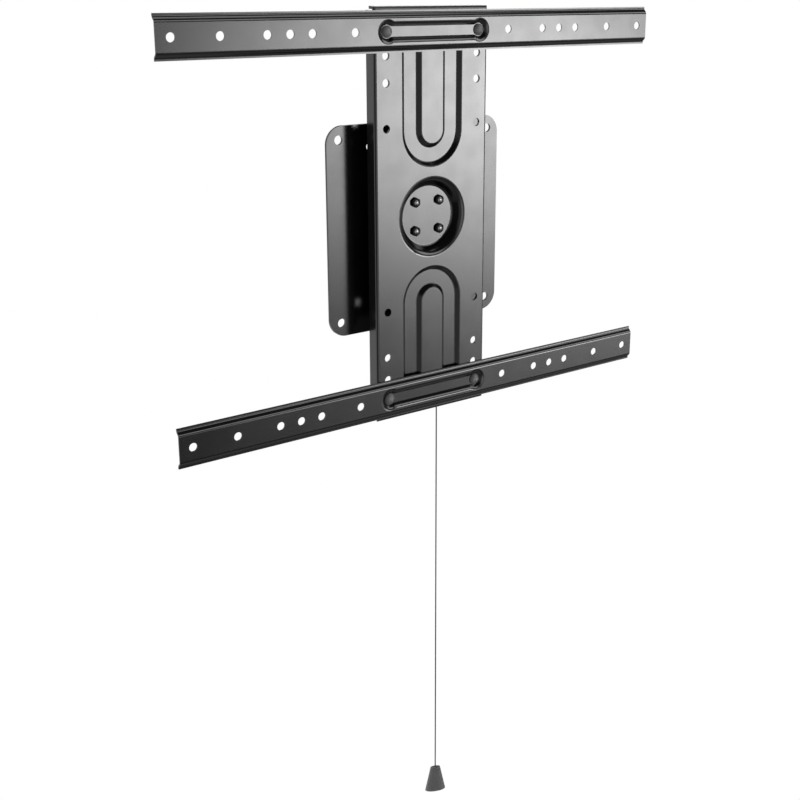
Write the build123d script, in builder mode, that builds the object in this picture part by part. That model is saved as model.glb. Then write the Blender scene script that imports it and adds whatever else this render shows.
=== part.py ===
"""Rotating television wall mount: a pressed front plate with two slotted rails turns on a hub
fixed to a square wall plate, and a latch with a pull cord holds it at each quarter turn.

Frame: X to the right, Z up, the wall is the plane Y = 0 and the viewer stands at -Y. The origin is the
centre of the wall plate's four corner holes. Distances "from the wall" are positive numbers, so a
point at distance d from the wall has Y = -d. All lengths are millimetres.
"""
import os
from math import atan2, degrees, hypot

from build123d import *

# Wall plate: flat square sheet with a round pressed boss that carries the hub
WALL_HOLE_MARGIN = 15.0
WALL_PLATE_CORNER = 20.0
WALL_SHEET = 3.0
WALL_HOLE_PITCH = 200.0
WALL_HOLE_D = 10.0
UPPER_HOLE_PITCH = 122.5
UPPER_HOLE_HEIGHT = 90.5
UPPER_HOLE_D = 8.0
HUB_HEIGHT = 12.5
BOSS_INSET = 1.0
BOSS_RUN = 6.0
BOSS_HEIGHT = 4.0

# Hub bearing: shouldered bolt, washers, notched disc and its plastic bush
PIVOT_HEAD_D = 34.0
PIVOT_HEAD_THICK = 3.0
JOURNAL_D = 16.0
PIVOT_THREAD_D = 12.0
PIVOT_NUT_FLATS = 19.0
PIVOT_NUT_THICK = 5.0
PIVOT_THREAD_PAST_NUT = 0.5
REAR_WASHER_D = 74.0
REAR_WASHER_THICK = 0.9
BUSH_WALL = 2.0
BUSH_FLANGE_D = 30.0
BUSH_FLANGE_THICK = 1.0
RETAINER_D = 30.0
RETAINER_THICK = 1.5
THRUST_GAP = 0.1
AXIAL_PLAY = 0.3
RUNNING_FIT = 0.05
CLOSE_FIT = 0.02

# Index disc: plain rim with a pair of lugs at each quarter turn, and a notch between each pair
DISC_THICK = 3.5
LOCK_POSITIONS = 4
DISC_RIM_R = 40.0
LUG_HEIGHT = 6.0
LUG_WIDTH = 7.0
NOTCH_CLEARANCE = 0.3

# Front plate: folded pan with pressed grooves and a dished hub seat
PLATE_SIDE_MARGIN = 14.5
PLATE_END_MARGIN = 25.0
PLATE_SHEET = 3.0
PLATE_DEPTH = 15.0
PLATE_RIGHT_DEPTH = 9.0
PLATE_BEND_R = 3.0
PLATE_CORNER_NOTCH = 4.0
PLATE_FACE_FROM_WALL = 33.5
DISH_RIM_D = 82.0
DISH_FLOOR_D = 69.0
DISH_DEPTH = 10.0
DISH_RIM_ROUND = 8.0
DISH_FLOOR_ROUND = 3.0
GROOVE_DEPTH = 4.0
GROOVE_RUN = 4.2
GROOVE_OUTER_R = 39.2
GROOVE_INNER_R = 14.6
GROOVE_ARC_HEIGHT = 95.0
GROOVE_END_SETBACK = 10.0
GROOVE_RIM_ROUND = 2.0
GROOVE_FLOOR_ROUND = 1.5
PLATE_HOLE_D = 9.0
PLATE_HOLE_HALF_PITCH = 60.0
RAIL_PITCH = 400.0
UPPER_SPARE_SETBACKS = (24.5, 52.5, 100.0)
LOWER_SPARE_SETBACKS = (22.0, 47.5, 100.0)

# Studs that join the disc to the front plate
STUD_PITCH = 32.0
STUD_D = 6.0
STUD_HEAD_D = 9.0
STUD_HEAD_THICK = 1.2
STUD_TIP_PAST_NUT = 0.9
SPACER_D = 10.0
HUB_NUT_FLATS = 10.0
HUB_NUT_THICK = 3.0

# Rails: folded hat section with a dog-bone pressing in the middle
RAIL_END_MARGIN = 15.0
RAIL_WIDTH = 43.0
RAIL_WEB = 30.0
RAIL_SHEET = 1.5
RAIL_DEPTH = 5.0
RAIL_STEP_RUN = 3.3
RAIL_BEND_R = 3.0
RAIL_HOLE_D = 9.0
RAIL_HOLE_MODULE = 25.0
RAIL_HOLE_STEPS = (4, 6, 7, 8, 10, 12)
DOGBONE_LOBE_R = 11.0
DOGBONE_WIDTH = 18.4
DOGBONE_RUN = 4.0
DOGBONE_NECK_R = 5.0
DOGBONE_RIM_ROUND = 5.0

# Rail fixings: domed square-neck bolts with washers and nuts behind the front plate
RAIL_BOLT_D = 8.0
RAIL_BOLT_HEAD_D = 12.6
RAIL_BOLT_HEAD_THICK = 4.0
RAIL_BOLT_HEAD_EDGE = 0.8
RAIL_BOLT_TIP_PAST_NUT = 1.5
NECK_CLEARANCE = 0.3
RAIL_WASHER_D = 16.0
RAIL_WASHER_THICK = 1.6
RAIL_NUT_FLATS = 13.0
RAIL_NUT_THICK = 6.5

# Latch: cast slide in a folded guide, pushed up by a spring and pulled down by the cord
NOSE_WIDTH = 10.0
NOSE_TIP_GAP = 0.5
NOSE_FACE_GAP = 0.2
NOSE_CHAMFER = 0.8
SLIDE_WIDTH = 26.0
SLIDE_TOP_GAP = 0.6
SLIDE_WALL_GAP = 0.3
SHOULDER_WIDTH = 32.0
SHOULDER_THICK = 7.7
LATCH_TRAVEL = 7.0
GUIDE_SHEET = 2.0
GUIDE_LENGTH = 24.0
GUIDE_SETBACK = 4.0
GUIDE_FOOT = 14.0
GUIDE_GAP = 0.3
GUIDE_BEND_R = 0.8
GUIDE_SCREW_D = 4.0
GUIDE_SCREW_HEAD_D = 8.0
GUIDE_SCREW_HEAD_THICK = 2.6
GUIDE_SCREW_HEAD_ROUND = 0.9
SPRING_OUTER_D = 7.0
SPRING_WIRE_D = 0.8
SPRING_PRESSED_LENGTH = 11.0
SPRING_TURNS = 6
PEG_D = 4.4
PEG_LENGTH = 6.0
TAB_WIDTH = 12.0
TAB_REACH = 10.0
TAB_WINDOW_GAP = 0.5

# Pull cord and flattened knob
CORD_X = 22.0
CORD_FROM_WALL = 12.5
CORD_D = 1.5
CORD_HOLE_D = 2.2
CORD_EAR_REACH = 6.0
CORD_EAR_HALF = 3.0
CORD_EAR_ROUND = 2.5
FERRULE_D = 4.0
FERRULE_LENGTH = 5.0
CORD_LENGTH = 673.5
KNOB_TOP_WIDTH = 12.4
KNOB_BASE_WIDTH = 26.4
KNOB_FLATNESS = 0.42
KNOB_TURN = -24.0
KNOB_LENGTH = 33.5
KNOB_POCKET_D = 5.0
KNOB_POCKET_DEPTH = 10.0
KNOB_EDGE_ROUND = 0.5

THREAD_CHAMFER = 0.6
WASHER_CHAMFER = 0.25
NUT_SIDES = 6

# Heights and lengths that follow from the hole pitches
wall_plate_size = WALL_HOLE_PITCH + 2 * WALL_HOLE_MARGIN
rail_height = RAIL_PITCH / 2
plate_width = 2 * (PLATE_HOLE_HALF_PITCH + PLATE_SIDE_MARGIN)
plate_height = RAIL_PITCH + 2 * PLATE_END_MARGIN
groove_end_height = rail_height - GROOVE_END_SETBACK
rail_length = 2 * (RAIL_HOLE_MODULE * max(RAIL_HOLE_STEPS) + RAIL_END_MARGIN)
lug_tip_r = DISC_RIM_R + LUG_HEIGHT
boss_base_r = lug_tip_r - BOSS_INSET

# Planes of the stack, as distances from the wall
boss_front = WALL_SHEET + BOSS_HEIGHT
rear_washer_back = boss_front
disc_back = rear_washer_back + REAR_WASHER_THICK + THRUST_GAP
disc_front = disc_back + DISC_THICK
journal_end = disc_front + BUSH_FLANGE_THICK + AXIAL_PLAY
retainer_front = journal_end + RETAINER_THICK
pivot_nut_front = retainer_front + PIVOT_NUT_THICK
plate_face = PLATE_FACE_FROM_WALL
plate_back = plate_face - PLATE_SHEET
plate_edge = plate_face - PLATE_DEPTH
dish_floor = plate_face - DISH_DEPTH
dish_back = dish_floor - PLATE_SHEET
hub_nut_front = dish_floor + HUB_NUT_THICK
rail_front = plate_face + RAIL_DEPTH
rail_floor = plate_face + RAIL_SHEET
rail_washer_back = plate_back - RAIL_WASHER_THICK
rail_nut_back = rail_washer_back - RAIL_NUT_THICK

# Heights of the latch, measured from the wall plate's centre
nose_top = HUB_HEIGHT - DISC_RIM_R - NOSE_TIP_GAP
slide_top = HUB_HEIGHT - lug_tip_r - SLIDE_TOP_GAP
guide_top = slide_top - GUIDE_SETBACK
guide_bottom = guide_top - GUIDE_LENGTH
shoulder_top = guide_bottom - GUIDE_GAP
slide_bottom = shoulder_top - SHOULDER_THICK
spring_length = SPRING_PRESSED_LENGTH + LATCH_TRAVEL
tab_top = slide_bottom - spring_length
slide_back = WALL_SHEET + SLIDE_WALL_GAP
slide_front = disc_front - NOSE_FACE_GAP
spring_axis = (slide_back + slide_front) / 2
guide_inner = slide_front + GUIDE_GAP
guide_front = guide_inner + GUIDE_SHEET
cord_bottom = shoulder_top - CORD_LENGTH
knob_top = cord_bottom + KNOB_LENGTH - KNOB_POCKET_DEPTH
knob_bottom = knob_top - KNOB_LENGTH


def facing_viewer(from_wall, height=0.0):
    """Plane parallel to the wall; its sketch reads as seen by the viewer and extrudes to the viewer."""
    return Plane((0, -from_wall, height), x_dir=(1, 0, 0), z_dir=(0, -1, 0))


def facing_wall(from_wall, height=0.0):
    """Plane parallel to the wall that extrudes towards the wall."""
    return Plane((0, -from_wall, height), x_dir=(-1, 0, 0), z_dir=(0, 1, 0))


def across(height):
    """Horizontal plane at a height, with Y of its sketch along the row's Y."""
    return Plane((0, 0, height), x_dir=(1, 0, 0), z_dir=(0, 0, 1))


def wall_angle(run, depth):
    """Slope of a pressed wall from the direction of pressing, in degrees."""
    return degrees(atan2(run, depth))


def back_growth(run, depth, sheet):
    """How far the back of a pressed wall stands outside its front, at equal depth."""
    return sheet * (hypot(run, depth) - run) / depth


def finish(part, name):
    """Label a finished piece and write its file."""
    part.label = name
    export_step(part, f"parts/{name}.step")


def groove_outline(half_width):
    """Two U-shaped grooves with round ends; their arcs are near the hub and their arms run outwards."""
    spine_r = (GROOVE_OUTER_R + GROOVE_INNER_R) / 2
    with BuildLine() as spine:
        Line((-spine_r, groove_end_height), (-spine_r, GROOVE_ARC_HEIGHT))
        RadiusArc((-spine_r, GROOVE_ARC_HEIGHT), (spine_r, GROOVE_ARC_HEIGHT), -spine_r)
        Line((spine_r, GROOVE_ARC_HEIGHT), (spine_r, groove_end_height))
        offset(amount=half_width, side=Side.BOTH)
    make_face(spine.edges())
    mirror(about=Plane.XZ)


def folded_strip(points, inner_r, sheet):
    """Section of a folded sheet along its middle line; its ends are trimmed square by the caller."""
    with BuildLine() as middle:
        FilletPolyline(*points, radius=inner_r + sheet / 2)
        offset(amount=sheet / 2, side=Side.BOTH)
    make_face(middle.edges())


def dogbone_outline(grow):
    """Channel between two round lobes with filleted necks, grown outwards by an amount."""
    with BuildSketch() as outline:
        with Locations((-PLATE_HOLE_HALF_PITCH, 0), (PLATE_HOLE_HALF_PITCH, 0)):
            Circle(DOGBONE_LOBE_R + grow)
        Rectangle(2 * PLATE_HOLE_HALF_PITCH, DOGBONE_WIDTH + 2 * grow)
        fillet(outline.vertices(), DOGBONE_NECK_R - grow)
    add(outline.sketch)


def nut_outline(centres, flats, bore):
    """Hexagons with a round bore at each centre, each with a corner at the top."""
    with Locations(*centres):
        RegularPolygon(flats / 2, NUT_SIDES, major_radius=False, rotation=180 / NUT_SIDES)
        Circle(bore / 2, mode=Mode.SUBTRACT)


os.makedirs("parts", exist_ok=True)

plate_holes = [
    (side * PLATE_HOLE_HALF_PITCH, row * (rail_height - setback))
    for row, setbacks in ((1, UPPER_SPARE_SETBACKS), (-1, LOWER_SPARE_SETBACKS))
    for setback in (0.0, *setbacks)
    for side in (1, -1)
]
stud_centres = [(x * STUD_PITCH / 2, z * STUD_PITCH / 2) for x in (1, -1) for z in (1, -1)]
guide_foot_centre = SLIDE_WIDTH / 2 + GUIDE_GAP + GUIDE_SHEET + GUIDE_FOOT / 2
guide_screws_at = [
    (side * guide_foot_centre, guide_top - GUIDE_LENGTH / 2) for side in (1, -1)
]

# Wall plate
with BuildPart() as wall_plate:
    with BuildSketch(facing_viewer(0)):
        RectangleRounded(wall_plate_size, wall_plate_size, WALL_PLATE_CORNER)
    extrude(amount=WALL_SHEET)
    boss_inner = back_growth(BOSS_RUN, BOSS_HEIGHT, WALL_SHEET)
    with BuildSketch(facing_viewer(WALL_SHEET, HUB_HEIGHT)):
        Circle(boss_base_r)
    extrude(amount=BOSS_HEIGHT, taper=wall_angle(BOSS_RUN, BOSS_HEIGHT))
    with BuildSketch(facing_viewer(0, HUB_HEIGHT)):
        Circle(boss_base_r - boss_inner)
    extrude(amount=BOSS_HEIGHT, taper=wall_angle(BOSS_RUN, BOSS_HEIGHT), mode=Mode.SUBTRACT)
    with BuildSketch(facing_viewer(0)):
        with GridLocations(WALL_HOLE_PITCH, WALL_HOLE_PITCH, 2, 2):
            Circle(WALL_HOLE_D / 2)
        with Locations((0, UPPER_HOLE_HEIGHT)):
            with GridLocations(UPPER_HOLE_PITCH, 1, 2, 1):
                Circle(UPPER_HOLE_D / 2)
        with Locations(*guide_screws_at):
            Circle(GUIDE_SCREW_D / 2 + CLOSE_FIT)
        with Locations((0, HUB_HEIGHT)):
            Circle(JOURNAL_D / 2 + CLOSE_FIT)
        with Locations((0, tab_top - WALL_SHEET - TAB_REACH / 2)):
            Rectangle(TAB_WIDTH + 2 * TAB_WINDOW_GAP, TAB_REACH)
    extrude(amount=boss_front, mode=Mode.SUBTRACT)
    with BuildSketch(facing_viewer(0, tab_top - WALL_SHEET / 2)):
        Rectangle(TAB_WIDTH, WALL_SHEET)
    extrude(amount=WALL_SHEET + TAB_REACH)
finish(wall_plate.part, "wall_plate")

# Pivot bolt: head inside the boss, journal through plate and disc, threaded end
with BuildPart() as pivot_bolt:
    with BuildSketch(facing_viewer(BOSS_HEIGHT - PIVOT_HEAD_THICK, HUB_HEIGHT)):
        Circle(PIVOT_HEAD_D / 2)
    extrude(amount=PIVOT_HEAD_THICK)
    with BuildSketch(facing_viewer(BOSS_HEIGHT, HUB_HEIGHT)):
        Circle(JOURNAL_D / 2)
    extrude(amount=journal_end - BOSS_HEIGHT)
    with BuildSketch(facing_viewer(journal_end, HUB_HEIGHT)):
        Circle(PIVOT_THREAD_D / 2)
    extrude(amount=pivot_nut_front + PIVOT_THREAD_PAST_NUT - journal_end)
    chamfer(pivot_bolt.faces().sort_by(Axis.Y)[0].edges(), THREAD_CHAMFER)
finish(pivot_bolt.part, "pivot_bolt")

with BuildPart() as rear_thrust_washer:
    with BuildSketch(facing_viewer(rear_washer_back, HUB_HEIGHT)):
        Circle(REAR_WASHER_D / 2)
        Circle(JOURNAL_D / 2 + RUNNING_FIT, mode=Mode.SUBTRACT)
    extrude(amount=REAR_WASHER_THICK)
finish(rear_thrust_washer.part, "rear_thrust_washer")

with BuildPart() as retaining_washer:
    with BuildSketch(facing_viewer(journal_end, HUB_HEIGHT)):
        Circle(RETAINER_D / 2)
        Circle(PIVOT_THREAD_D / 2 + CLOSE_FIT, mode=Mode.SUBTRACT)
    extrude(amount=RETAINER_THICK)
    chamfer(retaining_washer.faces().sort_by(Axis.Y)[0].edges(), WASHER_CHAMFER)
finish(retaining_washer.part, "retaining_washer")

with BuildPart() as pivot_nut:
    with BuildSketch(facing_viewer(retainer_front, HUB_HEIGHT)):
        nut_outline([(0, 0)], PIVOT_NUT_FLATS, PIVOT_THREAD_D + 2 * CLOSE_FIT)
    extrude(amount=PIVOT_NUT_THICK)
finish(pivot_nut.part, "pivot_nut")

# Index disc: a rim with four pairs of lugs, bored for the bush and counterbored for the stud heads
bush_outer_r = JOURNAL_D / 2 + BUSH_WALL
lug_offset = NOSE_WIDTH / 2 + NOTCH_CLEARANCE + LUG_WIDTH / 2
with BuildPart() as index_disc:
    with BuildSketch(facing_viewer(disc_back, HUB_HEIGHT)):
        Circle(lug_tip_r)
        with BuildSketch(mode=Mode.INTERSECT):
            Circle(DISC_RIM_R)
            with PolarLocations(0, LOCK_POSITIONS):
                with Locations((lug_tip_r / 2, lug_offset), (lug_tip_r / 2, -lug_offset)):
                    Rectangle(lug_tip_r, LUG_WIDTH)
        Circle(bush_outer_r + CLOSE_FIT, mode=Mode.SUBTRACT)
        with Locations(*stud_centres):
            Circle(STUD_D / 2 + CLOSE_FIT, mode=Mode.SUBTRACT)
    extrude(amount=DISC_THICK)
    with BuildSketch(facing_viewer(disc_back, HUB_HEIGHT)):
        with Locations(*stud_centres):
            Circle(STUD_HEAD_D / 2 + CLOSE_FIT)
    extrude(amount=STUD_HEAD_THICK, mode=Mode.SUBTRACT)
finish(index_disc.part, "index_disc")

with BuildPart() as flange_bush:
    with BuildSketch(facing_viewer(disc_back, HUB_HEIGHT)):
        Circle(bush_outer_r)
    extrude(amount=DISC_THICK)
    with BuildSketch(facing_viewer(disc_front, HUB_HEIGHT)):
        Circle(BUSH_FLANGE_D / 2)
    extrude(amount=BUSH_FLANGE_THICK)
    with BuildSketch(facing_viewer(disc_back, HUB_HEIGHT)):
        Circle(JOURNAL_D / 2 + RUNNING_FIT)
    extrude(amount=DISC_THICK + BUSH_FLANGE_THICK, mode=Mode.SUBTRACT)
finish(flange_bush.part, "flange_bush")

# Four studs, spacers and nuts that hold the front plate's dish to the disc
with BuildPart() as hub_studs:
    with BuildSketch(facing_viewer(disc_back, HUB_HEIGHT)):
        with Locations(*stud_centres):
            Circle(STUD_HEAD_D / 2)
    extrude(amount=STUD_HEAD_THICK)
    with BuildSketch(facing_viewer(disc_back, HUB_HEIGHT)):
        with Locations(*stud_centres):
            Circle(STUD_D / 2)
    extrude(amount=hub_nut_front + STUD_TIP_PAST_NUT - disc_back)
    chamfer(hub_studs.faces().group_by(Axis.Y)[0].edges(), THREAD_CHAMFER)
finish(hub_studs.part, "hub_studs")

with BuildPart() as hub_spacers:
    with BuildSketch(facing_viewer(disc_front, HUB_HEIGHT)):
        with Locations(*stud_centres):
            Circle(SPACER_D / 2)
            Circle(STUD_D / 2 + CLOSE_FIT, mode=Mode.SUBTRACT)
    extrude(amount=dish_back - disc_front)
finish(hub_spacers.part, "hub_spacers")

with BuildPart() as hub_nuts:
    with BuildSketch(facing_viewer(dish_floor, HUB_HEIGHT)):
        nut_outline(stud_centres, HUB_NUT_FLATS, STUD_D + 2 * CLOSE_FIT)
    extrude(amount=HUB_NUT_THICK)
finish(hub_nuts.part, "hub_nuts")

# Front plate: folded pan whose right side is a shorter lip, dished seat, two pressed grooves and four
# pairs of holes at each end
groove_half_width = (GROOVE_OUTER_R - GROOVE_INNER_R) / 2
groove_angle = wall_angle(GROOVE_RUN, GROOVE_DEPTH)
groove_growth = back_growth(GROOVE_RUN, GROOVE_DEPTH, PLATE_SHEET)
dish_run = (DISH_RIM_D - DISH_FLOOR_D) / 2
dish_angle = wall_angle(dish_run, DISH_DEPTH)
dish_growth = back_growth(dish_run, DISH_DEPTH, PLATE_SHEET)
with BuildPart() as front_plate:
    with BuildSketch(facing_viewer(plate_edge, HUB_HEIGHT)):
        Rectangle(plate_width, plate_height)
    extrude(amount=PLATE_DEPTH)
    fillet(front_plate.faces().sort_by(Axis.Y)[0].edges(), PLATE_BEND_R)
    with BuildSketch(facing_viewer(plate_edge, HUB_HEIGHT)):
        Rectangle(plate_width - 2 * PLATE_SHEET, plate_height - 2 * PLATE_SHEET)
    extrude(amount=PLATE_DEPTH - PLATE_SHEET, mode=Mode.SUBTRACT)
    with BuildSketch(facing_viewer(plate_edge, HUB_HEIGHT)):
        with GridLocations(plate_width, plate_height, 2, 2):
            Rectangle(2 * PLATE_CORNER_NOTCH, 2 * PLATE_CORNER_NOTCH)
    extrude(amount=PLATE_DEPTH - PLATE_BEND_R, mode=Mode.SUBTRACT)
    with BuildSketch(facing_viewer(plate_edge, HUB_HEIGHT)):
        with Locations((plate_width / 2, 0)):
            Rectangle(PLATE_SHEET, plate_height, align=(Align.MAX, Align.CENTER))
    extrude(amount=PLATE_DEPTH - PLATE_RIGHT_DEPTH, mode=Mode.SUBTRACT)
    with BuildSketch(facing_wall(plate_back, HUB_HEIGHT)):
        Circle(DISH_RIM_D / 2 + dish_growth)
    extrude(amount=DISH_DEPTH, taper=dish_angle)
    with BuildSketch(facing_wall(plate_face, HUB_HEIGHT)):
        Circle(DISH_RIM_D / 2)
    extrude(amount=DISH_DEPTH, taper=dish_angle, mode=Mode.SUBTRACT)
    front_rims = front_plate.faces().sort_by(Axis.Y)[0].inner_wires().edges()
    fillet(front_rims, DISH_RIM_ROUND)
    flat_faces = front_plate.faces().filter_by(Axis.Y)
    dish_floor_face = flat_faces.sort_by(lambda face: abs(face.center().Y + dish_floor))[0]
    fillet(dish_floor_face.edges(), DISH_FLOOR_ROUND)
    with BuildSketch(facing_wall(plate_back, HUB_HEIGHT)):
        groove_outline(groove_half_width + groove_growth)
    extrude(amount=GROOVE_DEPTH, taper=groove_angle)
    with BuildSketch(facing_wall(plate_face, HUB_HEIGHT)):
        groove_outline(groove_half_width)
    extrude(amount=GROOVE_DEPTH, taper=groove_angle, mode=Mode.SUBTRACT)
    face_holes = front_plate.faces().sort_by(Axis.Y)[0].inner_wires()
    dish_rim = face_holes.sort_by(lambda wire: abs(wire.bounding_box().center().Z - HUB_HEIGHT))[0]
    groove_rims = [edge for wire in face_holes if wire != dish_rim for edge in wire.edges()]
    fillet(groove_rims, GROOVE_RIM_ROUND)
    flat_faces = front_plate.faces().filter_by(Axis.Y)
    groove_floors = flat_faces.sort_by(lambda face: abs(face.center().Y + plate_face - GROOVE_DEPTH))[:2]
    fillet(groove_floors.edges(), GROOVE_FLOOR_ROUND)
    with BuildSketch(facing_viewer(dish_back, HUB_HEIGHT)):
        with Locations(*plate_holes):
            Circle(PLATE_HOLE_D / 2)
        with Locations(*stud_centres):
            Circle(STUD_D / 2 + CLOSE_FIT)
    extrude(amount=plate_face - dish_back, mode=Mode.SUBTRACT)
finish(front_plate.part, "front_plate")

# Rails: the hat section is drawn along its front face, thickened towards the wall and extruded
rail_press_depth = RAIL_DEPTH - RAIL_SHEET
dogbone_angle = wall_angle(DOGBONE_RUN, rail_press_depth)
dogbone_growth = back_growth(DOGBONE_RUN, rail_press_depth, RAIL_SHEET)
rail_holes = [(side * RAIL_HOLE_MODULE * step, 0) for step in RAIL_HOLE_STEPS for side in (1, -1)]
neck_holes = [(side * PLATE_HOLE_HALF_PITCH, 0) for side in (1, -1)]
lip_start = RAIL_WEB / 2 + RAIL_STEP_RUN
lip_line = -plate_face - RAIL_SHEET / 2
web_line = -rail_front + RAIL_SHEET / 2
rail_middle = [
    (lip_line, -RAIL_WIDTH / 2 - RAIL_SHEET),
    (lip_line, -lip_start),
    (web_line, -RAIL_WEB / 2),
    (web_line, RAIL_WEB / 2),
    (lip_line, lip_start),
    (lip_line, RAIL_WIDTH / 2 + RAIL_SHEET),
]
for name, side in (("upper_rail", 1), ("lower_rail", -1)):
    rail_centre = HUB_HEIGHT + side * rail_height
    with BuildPart() as rail:
        with BuildSketch(Plane((-rail_length / 2, 0, rail_centre), x_dir=(0, 1, 0), z_dir=(1, 0, 0))):
            folded_strip(rail_middle, RAIL_BEND_R, RAIL_SHEET)
            with Locations((-rail_front, 0)):
                Rectangle(2 * rail_front, RAIL_WIDTH, mode=Mode.INTERSECT)
        extrude(amount=rail_length)
        with BuildSketch(facing_wall(rail_front - RAIL_SHEET, rail_centre)):
            dogbone_outline(dogbone_growth)
        extrude(amount=rail_press_depth, taper=dogbone_angle)
        with BuildSketch(facing_wall(rail_front, rail_centre)):
            dogbone_outline(0)
        extrude(amount=rail_press_depth, taper=dogbone_angle, mode=Mode.SUBTRACT)
        fillet(rail.faces().sort_by(Axis.Y)[0].inner_wires().edges(), DOGBONE_RIM_ROUND)
        with BuildSketch(facing_viewer(plate_face, rail_centre)):
            with Locations(*rail_holes):
                Circle(RAIL_HOLE_D / 2)
            with Locations(*neck_holes):
                Rectangle(RAIL_BOLT_D + NECK_CLEARANCE, RAIL_BOLT_D + NECK_CLEARANCE)
        extrude(amount=RAIL_DEPTH, mode=Mode.SUBTRACT)
    finish(rail.part, name)

# Rail bolts: domed head on the pressed floor, square neck in the rail, shank through the front plate
bolt_places = [
    (side * PLATE_HOLE_HALF_PITCH, -rail_floor, HUB_HEIGHT + row * rail_height)
    for row in (1, -1)
    for side in (1, -1)
]
dome_rise = RAIL_BOLT_HEAD_THICK - RAIL_BOLT_HEAD_EDGE
head_r = RAIL_BOLT_HEAD_D / 2
dome_r = (head_r**2 + dome_rise**2) / (2 * dome_rise)
shank_end = rail_floor - rail_nut_back + RAIL_BOLT_TIP_PAST_NUT
with BuildPart() as one_bolt:
    with BuildSketch(Plane.XY):
        with BuildLine():
            Polyline((0, -RAIL_BOLT_HEAD_THICK), (0, 0), (head_r, 0), (head_r, -RAIL_BOLT_HEAD_EDGE))
            RadiusArc((head_r, -RAIL_BOLT_HEAD_EDGE), (0, -RAIL_BOLT_HEAD_THICK), dome_r)
        make_face()
    revolve(axis=Axis.Y)
    with BuildSketch(facing_wall(0)):
        Rectangle(RAIL_BOLT_D, RAIL_BOLT_D)
    extrude(amount=RAIL_SHEET)
    with BuildSketch(facing_wall(0)):
        Circle(RAIL_BOLT_D / 2)
    extrude(amount=shank_end)
    chamfer(one_bolt.faces().sort_by(Axis.Y)[-1].edges(), THREAD_CHAMFER)
with BuildPart() as rail_bolts:
    with Locations(*bolt_places):
        add(one_bolt.part)
finish(rail_bolts.part, "rail_bolts")

rail_bolt_axes = [(x, z - HUB_HEIGHT) for x, y, z in bolt_places]
with BuildPart() as rail_washers:
    with BuildSketch(facing_viewer(rail_washer_back, HUB_HEIGHT)):
        with Locations(*rail_bolt_axes):
            Circle(RAIL_WASHER_D / 2)
            Circle(RAIL_BOLT_D / 2 + CLOSE_FIT, mode=Mode.SUBTRACT)
    extrude(amount=RAIL_WASHER_THICK)
finish(rail_washers.part, "rail_washers")

with BuildPart() as rail_nuts:
    with BuildSketch(facing_viewer(rail_nut_back, HUB_HEIGHT)):
        nut_outline(rail_bolt_axes, RAIL_NUT_FLATS, RAIL_BOLT_D + 2 * CLOSE_FIT)
    extrude(amount=RAIL_NUT_THICK)
finish(rail_nuts.part, "rail_nuts")

# Latch slide: cast block with a nose for the notch, shoulders under the guide, a peg and a cord ear
body_height = slide_top - slide_bottom
with BuildPart() as latch_slide:
    with BuildSketch(facing_viewer(slide_back, (slide_top + slide_bottom) / 2)):
        Rectangle(SLIDE_WIDTH, body_height)
    extrude(amount=slide_front - slide_back)
    chamfer(latch_slide.faces().sort_by(Axis.Y)[0].edges().filter_by(Axis.Z), GUIDE_BEND_R)
    with BuildSketch(facing_viewer(slide_back, (shoulder_top + slide_bottom) / 2)):
        Rectangle(SHOULDER_WIDTH, SHOULDER_THICK)
    extrude(amount=slide_front - slide_back)
    with BuildSketch(facing_viewer(disc_back + NOSE_FACE_GAP, (nose_top + slide_top) / 2)):
        Rectangle(NOSE_WIDTH, nose_top - slide_top)
    extrude(amount=slide_front - disc_back - NOSE_FACE_GAP)
    chamfer(latch_slide.faces().sort_by(Axis.Z)[-1].edges().filter_by(Axis.Y), NOSE_CHAMFER)
    ear_length = CORD_X + CORD_EAR_REACH
    with BuildSketch(across(slide_bottom)):
        with Locations((0, -CORD_FROM_WALL)):
            Rectangle(ear_length, 2 * CORD_EAR_HALF, align=(Align.MIN, Align.CENTER))
    extrude(amount=SHOULDER_THICK)
    fillet(latch_slide.faces().sort_by(Axis.X)[-1].edges().filter_by(Axis.Z), CORD_EAR_ROUND)
    with BuildSketch(across(slide_bottom)):
        with Locations((CORD_X, -CORD_FROM_WALL)):
            Circle(CORD_HOLE_D / 2)
    extrude(amount=SHOULDER_THICK, mode=Mode.SUBTRACT)
    with BuildSketch(across(slide_bottom - PEG_LENGTH)):
        with Locations((0, -spring_axis)):
            Circle(PEG_D / 2)
    extrude(amount=PEG_LENGTH)
finish(latch_slide.part, "latch_slide")

# Latch guide: hat-shaped strap over the slide, screwed to the wall plate
leg_inner = SLIDE_WIDTH / 2 + GUIDE_GAP
foot_end = leg_inner + GUIDE_SHEET + GUIDE_FOOT
leg_line = leg_inner + GUIDE_SHEET / 2
foot_line = -WALL_SHEET - GUIDE_SHEET / 2
bridge_line = -guide_inner - GUIDE_SHEET / 2
guide_middle = [
    (-foot_end - GUIDE_SHEET, foot_line),
    (-leg_line, foot_line),
    (-leg_line, bridge_line),
    (leg_line, bridge_line),
    (leg_line, foot_line),
    (foot_end + GUIDE_SHEET, foot_line),
]
with BuildPart() as latch_guide:
    with BuildSketch(across(guide_bottom)):
        folded_strip(guide_middle, GUIDE_BEND_R, GUIDE_SHEET)
        Rectangle(2 * foot_end, 2 * guide_front, mode=Mode.INTERSECT)
    extrude(amount=GUIDE_LENGTH)
    with BuildSketch(facing_viewer(WALL_SHEET)):
        with Locations(*guide_screws_at):
            Circle(GUIDE_SCREW_D / 2 + CLOSE_FIT)
    extrude(amount=GUIDE_SHEET, mode=Mode.SUBTRACT)
finish(latch_guide.part, "latch_guide")

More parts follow.
